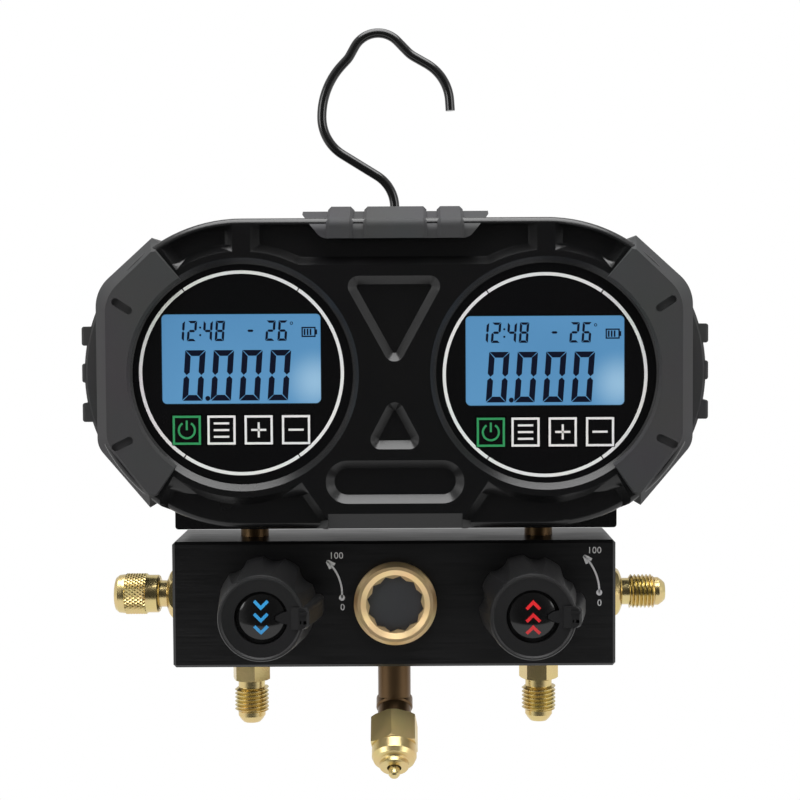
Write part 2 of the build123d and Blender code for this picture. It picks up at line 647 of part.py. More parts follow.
def charging_pin():
    """Pin that a hose pushes in to open the core, with a collar for its spring."""
    pin = turned((0, 7.4), (PIN_R, 7.4), (PIN_R, 18.0), (2.0, 18.0), (2.0, 18.9), (PIN_R, 18.9), (PIN_R, 22.2),
                 (1.75, 22.6), (1.75, 26.2), (1.2, 26.9), (0, 26.9))
    return branch_axis() * pin


def charging_spring():
    """Coil spring round the pin, between the core's shoulder and the pin's collar."""
    wire = 0.22
    coil = Helix(pitch=1.5, height=4.5, radius=1.72)
    start = Plane(origin=coil @ 0, z_dir=coil % 0)
    spring = sweep(start * RegularPolygon(wire, 6), coil)
    return branch_axis() * Pos(0, 0, 13.3) * spring


# ---- Files --------------------------------------------------------------------------------------
def all_parts():
    parts = {"front_shell": front_shell(), "top_bumper": top_bumper(), "housing_screws": housing_screws(),
             "hook": hook(), "hook_bush": hook_bush(), "hook_retainer": hook_retainer(),
             "manifold_block": manifold_block(), "sight_glass_ring": sight_glass_ring(),
             "sight_glass": sight_glass(), "sight_glass_seal": sight_glass_seal(),
             "left_port_fitting": side_port(-1, 36, 85.2, 87.4), "right_port_fitting": side_port(1, 0, 84.2, 87.6),
             "port_cap": port_cap(), "cap_seal": cap_seal(), "charging_elbow": charging_elbow(),
             "charging_core": charging_core(), "charging_pin": charging_pin(),
             "charging_spring": charging_spring()}
    shell = rear_shell()
    for side in SIDES:
        shell = cut_battery_bay(shell, side)
    parts["rear_shell"] = shell
    bumper = side_bumper()
    parts["left_bumper"] = bumper
    parts["right_bumper"] = mirror(bumper, Plane.YZ)
    for side, turn in (("low", 15.7), ("high", 10.0)):
        parts[f"{side}_faceplate"] = faceplate(side)
        parts[f"{side}_display"] = display(side)
        parts[f"{side}_board"] = board(side)
        parts[f"{side}_pressure_sensor"] = pressure_sensor(side)
        parts[f"{side}_battery_door"] = battery_door(side)
        parts[f"{side}_batteries"] = batteries(side)
        parts[f"{side}_bonnet"] = bonnet(side)
        parts[f"{side}_stem_packing"] = stem_packing(side)
        parts[f"{side}_ball"] = valve_ball(side)
        parts[f"{side}_ball_seats"] = ball_seats(side)
        parts[f"{side}_stem"] = valve_stem(side)
        parts[f"{side}_knob"] = knob(side)
        parts[f"{side}_knob_insert"] = knob_insert(side)
        parts[f"{side}_knob_screw"] = knob_screw(side)
        parts[f"{side}_hose_fitting"] = hose_fitting(side, turn)
        for name, (x, z) in zip(KEY_NAMES, key_centres(side)):
            parts[f"{side}_{name}_key"] = key(x, z)
    return parts


for node, shape in all_parts().items():
    export_step(shape, f"parts/{node}.step")
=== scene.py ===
# %% [markdown]
# # A two-gauge refrigerant manifold
# The rigid parts come from the engineering model as fixed objects, in metres, with X to the right,
# Y to the back and Z up. The origin is where the hook rests on a nail. This notebook gives every
# part its finish, cuts the threads and the knurl, draws the displays and the printed marks, and
# sets up a plain studio.

# %% Load the frame
import bpy
from math import atan2, cos, degrees, hypot, pi, radians, sin, tan
from mathutils import Matrix, Vector


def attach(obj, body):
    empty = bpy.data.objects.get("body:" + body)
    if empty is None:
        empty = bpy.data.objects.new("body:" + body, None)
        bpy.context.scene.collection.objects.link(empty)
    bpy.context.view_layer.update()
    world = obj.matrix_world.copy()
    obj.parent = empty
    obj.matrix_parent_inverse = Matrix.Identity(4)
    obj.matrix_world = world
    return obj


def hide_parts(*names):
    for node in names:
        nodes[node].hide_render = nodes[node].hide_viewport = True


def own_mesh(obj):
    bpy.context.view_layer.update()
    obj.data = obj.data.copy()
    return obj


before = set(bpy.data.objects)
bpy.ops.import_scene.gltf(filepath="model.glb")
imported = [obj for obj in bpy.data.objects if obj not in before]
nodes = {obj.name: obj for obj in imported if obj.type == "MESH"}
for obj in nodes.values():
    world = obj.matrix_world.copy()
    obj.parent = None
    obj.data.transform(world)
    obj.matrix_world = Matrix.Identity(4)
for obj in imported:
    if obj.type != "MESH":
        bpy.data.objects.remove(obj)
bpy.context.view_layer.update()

MM = 0.001
print("CAD nodes:", len(nodes))

# %% [markdown]
# ## Camera
# A long lens looks almost level at the case from half a metre. The lens and place are those at
# which the block's edges run together as they do when the tool is seen from this distance. A tiny
# roll and shift set the framing.

# %% Camera
CAMERA_AT = (6.2, -536.0, -88.7)
FOCUS_PX = 1659.0
FRAME_PX = 800.0
CENTRE_PX = 415.0
PITCH = radians(2.8)
ROLL = radians(-0.3)

camera_data = bpy.data.cameras.new("camera")
camera = bpy.data.objects.new("camera", camera_data)
bpy.context.scene.collection.objects.link(camera)
camera_data.sensor_width = 36.0
camera_data.lens = FOCUS_PX / FRAME_PX * camera_data.sensor_width
camera_data.shift_x = (FRAME_PX / 2 - CENTRE_PX) / FRAME_PX
camera_data.clip_start = 0.01
forward = Vector((0, cos(PITCH), -sin(PITCH)))
level = Vector((1, 0, 0))
upright = level.cross(forward)
right = level * cos(ROLL) + upright * sin(ROLL)
up = upright * cos(ROLL) - level * sin(ROLL)
turn = Matrix((right, up, -forward)).transposed().to_4x4()
camera.matrix_world = Matrix.Translation(Vector(CAMERA_AT) * MM) @ turn
bpy.context.scene.camera = camera
print("lens", round(camera_data.lens, 2), "mm, shift", round(camera_data.shift_x, 4))

# %% [markdown]
# ## Small helpers
# A material is a Principled shader with a few nodes in front of it. Effects that several finishes
# share are node groups: a fine grain, an uneven sheen and the rings that a lathe leaves.

# %% Material helpers
def new_material(name, color, roughness, metallic=0.0, **sockets):
    """Principled material with its plain values on the shader's own sockets."""
    material = bpy.data.materials.new(name)
    material.use_nodes = True
    shader = material.node_tree.nodes["Principled BSDF"]
    shader.inputs["Base Color"].default_value = (*color, 1)
    shader.inputs["Roughness"].default_value = roughness
    shader.inputs["Metallic"].default_value = metallic
    for socket, value in sockets.items():
        shader.inputs[socket.replace("_", " ")].default_value = value
    return material, shader


def new_group(name, inputs, outputs):
    """Empty node group with named sockets, its tree, and its input and output nodes."""
    tree = bpy.data.node_groups.new(name, "ShaderNodeTree")
    for label, kind, value in inputs:
        socket = tree.interface.new_socket(label, in_out="INPUT", socket_type=kind)
        if value is not None:
            socket.default_value = value
    for label, kind in outputs:
        tree.interface.new_socket(label, in_out="OUTPUT", socket_type=kind)
    start = tree.nodes.new("NodeGroupInput")
    end = tree.nodes.new("NodeGroupOutput")
    return tree, start, end


def place_group(material, tree, **values):
    """Group node in a material, with its own values."""
    node = material.node_tree.nodes.new("ShaderNodeGroup")
    node.node_tree = tree
    for label, value in values.items():
        node.inputs[label.replace("_", " ")].default_value = value
    return node


def object_coordinates(material):
    return material.node_tree.nodes.new("ShaderNodeTexCoord").outputs["Object"]


# %% [markdown]
# Two effects are shared by many finishes. Each is built once as a node group that gives out a
# height, a roughness and a colour, and each finish puts those on its own shader.

# %% Shared effects
def grain_group():
    """Fine grain of moulded plastic: a height and a little variation of the sheen."""
    tree, start, end = new_group(
        "moulded_grain",
        [("Vector", "NodeSocketVector", None), ("Grain Size", "NodeSocketFloat", 0.0004),
         ("Roughness", "NodeSocketFloat", 0.45), ("Unevenness", "NodeSocketFloat", 0.08),
         ("Color", "NodeSocketColor", (0.02, 0.02, 0.02, 1))],
        [("Height", "NodeSocketFloat"), ("Roughness", "NodeSocketFloat"), ("Color", "NodeSocketColor")])
    n, link = tree.nodes, tree.links.new
    invert = n.new("ShaderNodeMath")
    invert.operation = "DIVIDE"
    invert.inputs[0].default_value = 1.0
    link(start.outputs["Grain Size"], invert.inputs[1])
    fine = n.new("ShaderNodeTexNoise")
    fine.inputs["Detail"].default_value = 2.0
    link(start.outputs["Vector"], fine.inputs["Vector"])
    link(invert.outputs[0], fine.inputs["Scale"])
    link(fine.outputs["Fac"], end.inputs["Height"])
    broad = n.new("ShaderNodeTexNoise")
    broad.inputs["Scale"].default_value = 45.0
    broad.inputs["Detail"].default_value = 4.0
    link(start.outputs["Vector"], broad.inputs["Vector"])
    centred = n.new("ShaderNodeMath")
    centred.operation = "SUBTRACT"
    centred.inputs[1].default_value = 0.5
    link(broad.outputs["Fac"], centred.inputs[0])
    spread = n.new("ShaderNodeMath")
    spread.operation = "MULTIPLY_ADD"
    link(centred.outputs[0], spread.inputs[0])
    link(start.outputs["Unevenness"], spread.inputs[1])
    link(start.outputs["Roughness"], spread.inputs[2])
    link(spread.outputs[0], end.inputs["Roughness"])
    tint = n.new("ShaderNodeMix")
    tint.data_type = "RGBA"
    tint.blend_type = "MULTIPLY"
    tint.inputs["Factor"].default_value = 0.35
    link(start.outputs["Color"], tint.inputs["A"])
    link(broad.outputs["Color"], tint.inputs["B"])
    bright = n.new("ShaderNodeMix")
    bright.data_type = "RGBA"
    link(fine.outputs["Fac"], bright.inputs["Factor"])
    link(tint.outputs["Result"], bright.inputs["A"])
    link(start.outputs["Color"], bright.inputs["B"])
    link(bright.outputs["Result"], end.inputs["Color"])
    return tree


def lathe_group():
    """Rings that a turning tool leaves round one axis of a part, as a height and a roughness."""
    tree, start, end = new_group(
        "lathe_rings",
        [("Vector", "NodeSocketVector", None), ("Pitch", "NodeSocketFloat", 0.00025),
         ("Roughness", "NodeSocketFloat", 0.22), ("Color", "NodeSocketColor", (0.8, 0.55, 0.25, 1))],
        [("Height", "NodeSocketFloat"), ("Roughness", "NodeSocketFloat"), ("Color", "NodeSocketColor")])
    n, link = tree.nodes, tree.links.new
    parts = n.new("ShaderNodeSeparateXYZ")
    link(start.outputs["Vector"], parts.inputs[0])
    along = n.new("ShaderNodeMath")
    along.operation = "DIVIDE"
    link(parts.outputs["Z"], along.inputs[0])
    link(start.outputs["Pitch"], along.inputs[1])
    rings = n.new("ShaderNodeTexNoise")
    rings.noise_dimensions = "1D"
    rings.inputs["Scale"].default_value = 1.0
    rings.inputs["Detail"].default_value = 1.0
    link(along.outputs[0], rings.inputs["W"])
    link(rings.outputs["Fac"], end.inputs["Height"])
    stain = n.new("ShaderNodeTexNoise")
    stain.inputs["Scale"].default_value = 160.0
    stain.inputs["Detail"].default_value = 5.0
    link(start.outputs["Vector"], stain.inputs["Vector"])
    rough = n.new("ShaderNodeMath")
    rough.operation = "MULTIPLY_ADD"
    rough.inputs[1].default_value = 0.12
    link(stain.outputs["Fac"], rough.inputs[0])
    link(start.outputs["Roughness"], rough.inputs[2])
    link(rough.outputs[0], end.inputs["Roughness"])
    tint = n.new("ShaderNodeMix")
    tint.data_type = "RGBA"
    tint.blend_type = "MULTIPLY"
    tint.inputs["Factor"].default_value = 0.18
    link(start.outputs["Color"], tint.inputs["A"])
    link(stain.outputs["Color"], tint.inputs["B"])
    link(tint.outputs["Result"], end.inputs["Color"])
    return tree


GRAIN = grain_group()
LATHE = lathe_group()
print("shared groups:", GRAIN.name, LATHE.name)


# %% [markdown]
# A finish places its group, feeds it with object coordinates so that the pattern keeps its size in
# metres, and turns the height into a slight bump.

# %% Finishes from the groups
GRAIN_DEPTH = 0.0001
RING_DEPTH = 0.00005
RING_PITCH = 0.00025
RING_BUMP = 0.12


def put_on(material, shader, group, vector, bump, depth):
    """The group's height as a bump, and its roughness and colour, on the shader."""
    link = material.node_tree.links.new
    link(vector, group.inputs["Vector"])
    relief = material.node_tree.nodes.new("ShaderNodeBump")
    relief.inputs["Strength"].default_value = bump
    relief.inputs["Distance"].default_value = depth
    link(group.outputs["Height"], relief.inputs["Height"])
    link(relief.outputs["Normal"], shader.inputs["Normal"])
    link(group.outputs["Roughness"], shader.inputs["Roughness"])
    link(group.outputs["Color"], shader.inputs["Base Color"])


def grained(name, color, roughness, grain=0.0004, bump=0.15, unevenness=0.08, **sockets):
    """Moulded plastic or rubber."""
    material, shader = new_material(name, color, roughness, **sockets)
    group = place_group(material, GRAIN, Grain_Size=grain, Roughness=roughness, Unevenness=unevenness,
                        Color=(*color, 1))
    put_on(material, shader, group, object_coordinates(material), bump, GRAIN_DEPTH)
    return material


def lathe_turned(name, color, roughness, turn=(0, 0, 0)):
    """Turned metal. The turn brings the part's own axis onto Z for the rings."""
    material, shader = new_material(name, color, roughness, metallic=1.0)
    mapping = material.node_tree.nodes.new("ShaderNodeMapping")
    mapping.vector_type = "POINT"
    mapping.inputs["Rotation"].default_value = [radians(a) for a in turn]
    material.node_tree.links.new(object_coordinates(material), mapping.inputs["Vector"])
    group = place_group(material, LATHE, Pitch=RING_PITCH, Roughness=roughness, Color=(*color, 1))
    put_on(material, shader, group, mapping.outputs["Vector"], RING_BUMP, RING_DEPTH)
    return material


# %% [markdown]
# Three finishes need nodes of their own: the elbow, darker brown above a set height, the brushed block and
# the lit displays.

# %% Single finishes
UPPER_BROWN = (0.13, 0.08, 0.04)
BROWN_FROM, BROWN_FULL = -0.1579, -0.1577
BRUSH_SCALE = (60, 900, 2600)
LCD_DIM, LCD_BRIGHT, LCD_LAMP = (0.07, 0.25, 0.50), (0.14, 0.39, 0.68), (0.42, 0.68, 0.90)
LCD_GLOW = 0.62
LAMP_FROM_CENTRE = (22.5, -7.0)
LAMP_REACH = 0.011
DISPLAY_Y = -30.4


def darken_upper_branch(material):
    """Darker brown on the elbow, above the machined hexagon of the charging port. The height
    is measured along the branch, which the finish's mapping turns onto Z."""
    n, link = material.node_tree.nodes, material.node_tree.links.new
    shader = n["Principled BSDF"]
    machined = shader.inputs["Base Color"].links[0].from_socket
    parts = n.new("ShaderNodeSeparateXYZ")
    link(n["Mapping"].outputs["Vector"], parts.inputs[0])
    upper_ramp = n.new("ShaderNodeMapRange")
    upper_ramp.inputs["From Min"].default_value = BROWN_FROM
    upper_ramp.inputs["From Max"].default_value = BROWN_FULL
    link(parts.outputs["Z"], upper_ramp.inputs["Value"])
    layer = n.new("ShaderNodeMix")
    layer.data_type = "RGBA"
    layer.inputs["B"].default_value = (*UPPER_BROWN, 1)
    link(upper_ramp.outputs["Result"], layer.inputs["Factor"])
    link(machined, layer.inputs["A"])
    link(layer.outputs["Result"], shader.inputs["Base Color"])


def brushed_black():
    """Black anodised aluminium, brushed along X on its faces."""
    material, shader = new_material("block_anodised", (0.004, 0.004, 0.0045), 0.34, Specular_IOR_Level=0.4)
    n, link = material.node_tree.nodes, material.node_tree.links.new
    stretch = n.new("ShaderNodeMapping")
    stretch.inputs["Scale"].default_value = BRUSH_SCALE
    link(object_coordinates(material), stretch.inputs["Vector"])
    streaks = n.new("ShaderNodeTexNoise")
    streaks.inputs["Scale"].default_value = 1.0
    streaks.inputs["Detail"].default_value = 3.0
    link(stretch.outputs["Vector"], streaks.inputs["Vector"])
    ramp = n.new("ShaderNodeMapRange")
    ramp.inputs["To Min"].default_value = 0.26
    ramp.inputs["To Max"].default_value = 0.46
    link(streaks.outputs["Fac"], ramp.inputs["Value"])
    link(ramp.outputs["Result"], shader.inputs["Roughness"])
    tone = n.new("ShaderNodeMix")
    tone.data_type = "RGBA"
    tone.inputs["A"].default_value = (0.001, 0.001, 0.0012, 1)
    tone.inputs["B"].default_value = (0.008, 0.008, 0.0085, 1)
    link(streaks.outputs["Fac"], tone.inputs["Factor"])
    link(tone.outputs["Result"], shader.inputs["Base Color"])
    bump = n.new("ShaderNodeBump")
    bump.inputs["Strength"].default_value = 0.25
    bump.inputs["Distance"].default_value = 0.00006
    link(streaks.outputs["Fac"], bump.inputs["Height"])
    link(bump.outputs["Normal"], shader.inputs["Normal"])
    return material


def lit_display(side, x, z):
    """Lit liquid crystal glass: pale blue, with a brighter patch by the lamp at its right edge."""
    material, shader = new_material(side + "_display_lit", (0.03, 0.07, 0.12), 0.3, Specular_IOR_Level=0.2)
    n, link = material.node_tree.nodes, material.node_tree.links.new
    glow = n.new("ShaderNodeTexNoise")
    glow.inputs["Scale"].default_value = 28.0
    glow.inputs["Detail"].default_value = 0.0
    link(object_coordinates(material), glow.inputs["Vector"])
    ramp = n.new("ShaderNodeMix")
    ramp.data_type = "RGBA"
    ramp.inputs["A"].default_value = (*LCD_DIM, 1)
    ramp.inputs["B"].default_value = (*LCD_BRIGHT, 1)
    link(glow.outputs["Fac"], ramp.inputs["Factor"])
    away = n.new("ShaderNodeVectorMath")
    away.operation = "DISTANCE"
    across, up_or_down = LAMP_FROM_CENTRE
    away.inputs[1].default_value = ((x + across) * MM, DISPLAY_Y * MM, (z + up_or_down) * MM)
    link(object_coordinates(material), away.inputs[0])
    patch = n.new("ShaderNodeMapRange")
    patch.interpolation_type = "SMOOTHSTEP"
    patch.inputs["From Min"].default_value = LAMP_REACH
    patch.inputs["From Max"].default_value = 0.0
    link(away.outputs["Value"], patch.inputs["Value"])
    lamp = n.new("ShaderNodeMix")
    lamp.data_type = "RGBA"
    lamp.inputs["B"].default_value = (*LCD_LAMP, 1)
    link(patch.outputs["Result"], lamp.inputs["Factor"])
    link(ramp.outputs["Result"], lamp.inputs["A"])
    link(lamp.outputs["Result"], shader.inputs["Emission Color"])
    shader.inputs["Emission Strength"].default_value = LCD_GLOW
    return material


# %% [markdown]
# Now the finishes themselves. The blacks are very dark, since their sheen adds light of its own.
# Each node gets the finish of what it is made of, the hidden ones too; the pressure sensors' brass is
# darkened with painted shade.

# %% Materials of this tool
BRASS = (0.76, 0.60, 0.28)
BRASS_PALE = (0.95, 0.70, 0.38)
case_black = grained("case_black", (0.004, 0.004, 0.0042), 0.26, grain=0.0005, bump=0.08,
                     Specular_IOR_Level=0.45)
bumper_grey = grained("bumper_grey", (0.040, 0.040, 0.041), 0.60, grain=0.0003, bump=0.18,
                      Specular_IOR_Level=0.15)
plate_black = grained("faceplate_black", (0.003, 0.003, 0.0033), 0.26, grain=0.0006, bump=0.03,
                      Specular_IOR_Level=0.2)
key_black = grained("key_black", (0.003, 0.003, 0.0033), 0.26, grain=0.0006, bump=0.03,
                    Specular_IOR_Level=0.2)
knob_black = grained("knob_black", (0.007, 0.007, 0.0073), 0.45, grain=0.00028, bump=0.25,
                     Specular_IOR_Level=0.3)
insert_black = grained("insert_black", (0.004, 0.004, 0.004), 0.10, bump=0.0, unevenness=0.02)
print_white = grained("print_white", (0.72, 0.72, 0.71), 0.5, grain=0.0003, bump=0.02)
print_grey = grained("print_grey", (0.52, 0.52, 0.52), 0.5, grain=0.0003, bump=0.02)
print_green = grained("print_green", (0.018, 0.26, 0.085), 0.5, grain=0.0003, bump=0.02)
print_blue = grained("print_blue", (0.03, 0.30, 0.62), 0.4, grain=0.0003, bump=0.02)
print_red = grained("print_red", (0.62, 0.012, 0.016), 0.4, grain=0.0003, bump=0.02)
segment_dark = grained("segment_dark", (0.003, 0.005, 0.016), 0.35, grain=0.0003, bump=0.01,
                       Specular_IOR_Level=0.2)
hook_black = grained("hook_black", (0.007, 0.007, 0.007), 0.16, bump=0.0, unevenness=0.06)
seal_black = grained("seal_black", (0.015, 0.015, 0.015), 0.55)
seat_white = grained("seat_white", (0.75, 0.75, 0.72), 0.40)
board_green = grained("board_green", (0.02, 0.13, 0.05), 0.35)
cell_wrap = grained("cell_wrap", (0.06, 0.07, 0.09), 0.25)
sight_dark = grained("sight_dark", (0.045, 0.047, 0.050), 0.34, bump=0.02)
block_black = brushed_black()
DISPLAY_AT = {"low": (-46.7, -100.6), "high": (45.9, -101.6)}
display_blue = {side: lit_display(side, *DISPLAY_AT[side]) for side in DISPLAY_AT}
brass_down = lathe_turned("brass_down", BRASS, 0.20)
brass_side = lathe_turned("brass_side", BRASS, 0.20, turn=(0, 90, 0))
brass_front = lathe_turned("brass_front", BRASS_PALE, 0.38, turn=(90, 0, 0))
brass_branch = lathe_turned("brass_branch", BRASS, 0.30, turn=(45, 0, 0))
# Brass darkened with painted shade, for the pressure sensors that stand in the shaded gap between the
# block and the case.
brass_painted_shade = lathe_turned("brass_painted_shade", (0.16, 0.10, 0.05), 0.30)
darken_upper_branch(brass_branch)
steel = lathe_turned("steel_turned", (0.55, 0.55, 0.56), 0.28)
print("materials:", len(bpy.data.materials))


# %% Dressing the solids
def dress(material, *names):
    """One material on each of the named nodes."""
    for name in names:
        piece = nodes[name]
        piece.data.materials.clear()
        piece.data.materials.append(material)


SIDES = ("low", "high")
KEYS = ("power", "menu", "plus", "minus")
dress(case_black, "front_shell", "rear_shell", "low_battery_door", "high_battery_door")
dress(bumper_grey, "left_bumper", "right_bumper", "top_bumper")
dress(block_black, "manifold_block")
dress(hook_black, "hook")
dress(brass_side, "left_port_fitting", "right_port_fitting", "port_cap")
dress(brass_branch, "charging_elbow", "charging_core", "charging_pin")
dress(brass_front, "sight_glass_ring")
dress(brass_down, "hook_bush")
dress(sight_dark, "sight_glass")
dress(seal_black, "sight_glass_seal", "cap_seal")
dress(steel, "housing_screws", "hook_retainer", "charging_spring")
for side in SIDES:
    dress(plate_black, side + "_faceplate")
    dress(display_blue[side], side + "_display")
    dress(board_green, side + "_board")
    dress(cell_wrap, side + "_batteries")
    # The sensor's dark brass is painted shade.
    dress(brass_painted_shade, side + "_pressure_sensor")
    dress(brass_down, side + "_hose_fitting")
    dress(brass_front, side + "_bonnet")
    dress(seal_black, side + "_stem_packing")
    dress(seat_white, side + "_ball_seats")
    dress(steel, side + "_stem", side + "_ball", side + "_knob_screw")
    dress(knob_black, side + "_knob")
    dress(insert_black, side + "_knob_insert")
    for key in KEYS:
        dress(key_black, f"{side}_{key}_key")
print("dressed:", sum(len(piece.data.materials) > 0 for piece in nodes.values()), "nodes")

# %% [markdown]
# ## Printed marks and display segments
# The marks are thin solid shapes just proud of the surface that carries them. A bar is a slim box
# whose ends are cut by slanted planes: to a point where two bars meet in line, and to a mitre where
# they meet at a corner. The marks of one display are modelled once and copied onto both, as a printer uses
# one die.

# %% Helpers for small shapes
PRINT_T = 0.06 * MM
MERGE_WITHIN = 1e-6
FACING = 0.9
ARC_STEP = 3
FEWEST_STEPS = 6


def deselect():
    """Leave nothing selected, so that an operator acts only on the new piece."""
    bpy.ops.object.select_all(action="DESELECT")


def only(piece):
    """One piece selected and active."""
    deselect()
    piece.select_set(True)
    bpy.context.view_layer.objects.active = piece


def merge_doubles():
    """In edit mode: vertices that lie on each other become one. All are left selected."""
    bpy.ops.mesh.select_all(action="SELECT")
    bpy.ops.mesh.remove_doubles(threshold=MERGE_WITHIN)


def apply_place(piece, matrix):
    """Put a piece at a place, and move that place into its mesh."""
    only(piece)
    piece.matrix_world = matrix
    bpy.ops.object.transform_apply(location=True, rotation=True, scale=True)


def copy_of(piece, matrix):
    """Copy with a mesh of its own, at a place."""
    twin = piece.copy()
    twin.data = piece.data.copy()
    bpy.context.scene.collection.objects.link(twin)
    apply_place(twin, matrix)
    return twin


def joined(pieces, name, body, material):
    """One piece from several, riding on a body."""
    deselect()
    for piece in pieces:
        piece.select_set(True)
    bpy.context.view_layer.objects.active = pieces[0]
    if len(pieces) > 1:
        bpy.ops.object.join()
    piece = bpy.context.object
    piece.name = name
    piece.data.name = name
    piece.data.materials.clear()
    piece.data.materials.append(material)
    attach(piece, body)
    print(name, len(piece.data.polygons), "faces on", body)
    return piece


def bar(length, width, ends=(None, None)):
    """Bar along X, seen from the front. An end is square (None), pointed (0), or mitred with its
    long side up (1) or down (-1)."""
    deselect()
    bpy.ops.mesh.primitive_cube_add(size=1.0)
    piece = bpy.context.object
    apply_place(piece, Matrix.Diagonal((length, PRINT_T, width, 1)))
    bpy.ops.object.mode_set(mode="EDIT")
    for way, end in zip((-1, 1), ends):
        if end is None:
            continue
        tip = (way * length / 2, 0, end * width / 2)
        slopes = (1, -1) if end == 0 else (-end,)
        for slope in slopes:
            bpy.ops.mesh.select_all(action="SELECT")
            bpy.ops.mesh.bisect(plane_co=tip, plane_no=(way, 0, slope), use_fill=True, clear_outer=True)
    bpy.ops.object.mode_set(mode="OBJECT")
    return piece


def at(x, y, z, turn=0.0):
    """Place in millimetres, turned anticlockwise in degrees as seen from the front."""
    return Matrix.Translation(Vector((x, y, z)) * MM) @ Matrix.Rotation(radians(-turn), 4, "Y")


def placed(piece, x, z, y=0.0, turn=0.0):
    """The piece itself, after its place is applied."""
    apply_place(piece, at(x, y, z, turn))
    return piece


def disc(radius):
    """Flat dot that faces the front."""
    deselect()
    bpy.ops.mesh.primitive_cylinder_add(vertices=24, radius=radius, depth=PRINT_T)
    piece = bpy.context.object
    apply_place(piece, Matrix.Rotation(pi / 2, 4, "X"))
    return piece


def arc(radius, width, start, end):
    """Curved bar from one angle to another, in degrees anticlockwise from the right."""
    deselect()
    bpy.ops.mesh.primitive_plane_add(size=1.0)
    piece = bpy.context.object
    across = Matrix.Rotation(radians(-start), 4, "Y") @ Matrix.Translation((radius, 0, 0))
    apply_place(piece, across @ Matrix.Diagonal((width, PRINT_T, 1, 1)))
    bpy.ops.object.mode_set(mode="EDIT")
    bpy.ops.mesh.select_all(action="SELECT")
    steps = max(FEWEST_STEPS, int(abs(end - start) / ARC_STEP))
    bpy.ops.mesh.spin(steps=steps, angle=radians(end - start), center=(0, 0, 0), axis=(0, 1, 0))
    merge_doubles()
    bpy.ops.mesh.normals_make_consistent(inside=False)
    bpy.ops.object.mode_set(mode="OBJECT")
    return piece


def frame_mark(width, height, line):
    """Square outline with an open middle."""
    deselect()
    bpy.ops.mesh.primitive_cube_add(size=1.0)
    piece = bpy.context.object
    apply_place(piece, Matrix.Diagonal((width, PRINT_T, height, 1)))
    bpy.ops.object.mode_set(mode="EDIT")
    bpy.ops.mesh.select_all(action="DESELECT")
    bpy.ops.object.mode_set(mode="OBJECT")
    for face in piece.data.polygons:
        face.select = abs(face.normal.y) > FACING
    bpy.ops.object.mode_set(mode="EDIT")
    bpy.ops.mesh.select_mode(type="FACE")
    bpy.ops.mesh.inset(thickness=line)
    bpy.ops.mesh.bridge_edge_loops()
    bpy.ops.object.mode_set(mode="OBJECT")
    return piece


# %% [markdown]
# ## Threads and knurl
# The engineering model leaves the threads as plain cylinders over the crests. A copy of each open
# port is turned down to the thread's root, and a helical ridge is wound round it: a triangle
# carried round by a screw modifier, 20 turns to the inch, then cut flat at both ends. The cap's
# grip gets a sleeve of small pyramids in the same way.

# %% Threads and knurl
THREAD_PITCH, THREAD_ROOT, THREAD_CREST = 1.27, 4.8, 5.5
THREAD_FILL = 0.94
SUNK = 0.1
STEPS_PER_TURN = 40
PORT_CREASE = 28
SPARE_TURNS = 3
FITTING_R, FITTING_ABOVE = 5.55, 4.9
CAP_R, CAP_SLIM, CAP_ABOVE = 6.7, 6.3, 6.55
KNURL_ROOT, KNURL_DEPTH, KNURL_AROUND, KNURL_ROWS = 6.32, 0.34, 34, 8
ROOT_3 = 1.732
BLOCK_X = -0.75
HOSE_X = 46.75
PORT_Z = -177.5


def down_port(x):
    """Place whose Z runs down out of a hose port."""
    return Matrix.Translation((x * MM, 0, 0)) @ Matrix.Rotation(pi, 4, "X")


def side_port(side):
    """Place whose Z runs out of the left (-1) or right (1) port."""
    return Matrix.Translation((BLOCK_X * MM, 0, PORT_Z * MM)) @ Matrix.Rotation(side * pi / 2, 4, "Y")


def slimmed(name, place, zone, above, factor):
    """Copy of a node whose Z is along a place's axis, with a length of it turned down."""
    piece = copy_of(nodes[name], place.inverted())
    only(piece)
    bpy.ops.object.mode_set(mode="EDIT")
    merge_doubles()
    bpy.ops.mesh.select_all(action="DESELECT")
    bpy.ops.mesh.select_mode(type="VERT")
    bpy.ops.object.mode_set(mode="OBJECT")
    for vertex in piece.data.vertices:
        x, y, z = vertex.co / MM
        vertex.select = zone[0] < z < zone[1] and hypot(x, y) > above
    bpy.ops.object.mode_set(mode="EDIT")
    bpy.ops.transform.resize(value=(factor, factor, 1), center_override=(0, 0, 0))
    bpy.ops.object.mode_set(mode="OBJECT")
    return piece


def ridge(root, crest, start, end):
    """Helical ridge round Z, from below its root to its crest, cut flat at both ends."""
    deselect()
    bpy.ops.mesh.primitive_circle_add(vertices=3, radius=1.0)
    piece = bpy.context.object
    height, width = crest - root + SUNK, THREAD_FILL * THREAD_PITCH
    to_profile = Matrix.Translation((root - SUNK + height / 3, 0, start - THREAD_PITCH))
    to_profile = to_profile @ Matrix.Rotation(pi / 2, 4, "X")
    to_profile = to_profile @ Matrix.Diagonal((height / 1.5, width / ROOT_3, 1, 1))
    apply_place(piece, Matrix.Scale(MM, 4) @ to_profile @ Matrix.Rotation(-pi / 2, 4, "Z"))
    winding = piece.modifiers.new("winding", "SCREW")
    winding.screw_offset = THREAD_PITCH * MM
    winding.iterations = int((end - start) / THREAD_PITCH) + SPARE_TURNS
    winding.steps = winding.render_steps = STEPS_PER_TURN
    bpy.ops.object.modifier_apply(modifier=winding.name)
    bpy.ops.object.mode_set(mode="EDIT")
    for cut, way in ((start, -1), (end, 1)):
        bpy.ops.mesh.select_all(action="SELECT")
        bpy.ops.mesh.bisect(plane_co=(0, 0, cut * MM), plane_no=(0, 0, way), use_fill=True,
                            clear_outer=True)
    bpy.ops.mesh.select_all(action="SELECT")
    bpy.ops.mesh.normals_make_consistent(inside=False)
    bpy.ops.object.mode_set(mode="OBJECT")
    return piece


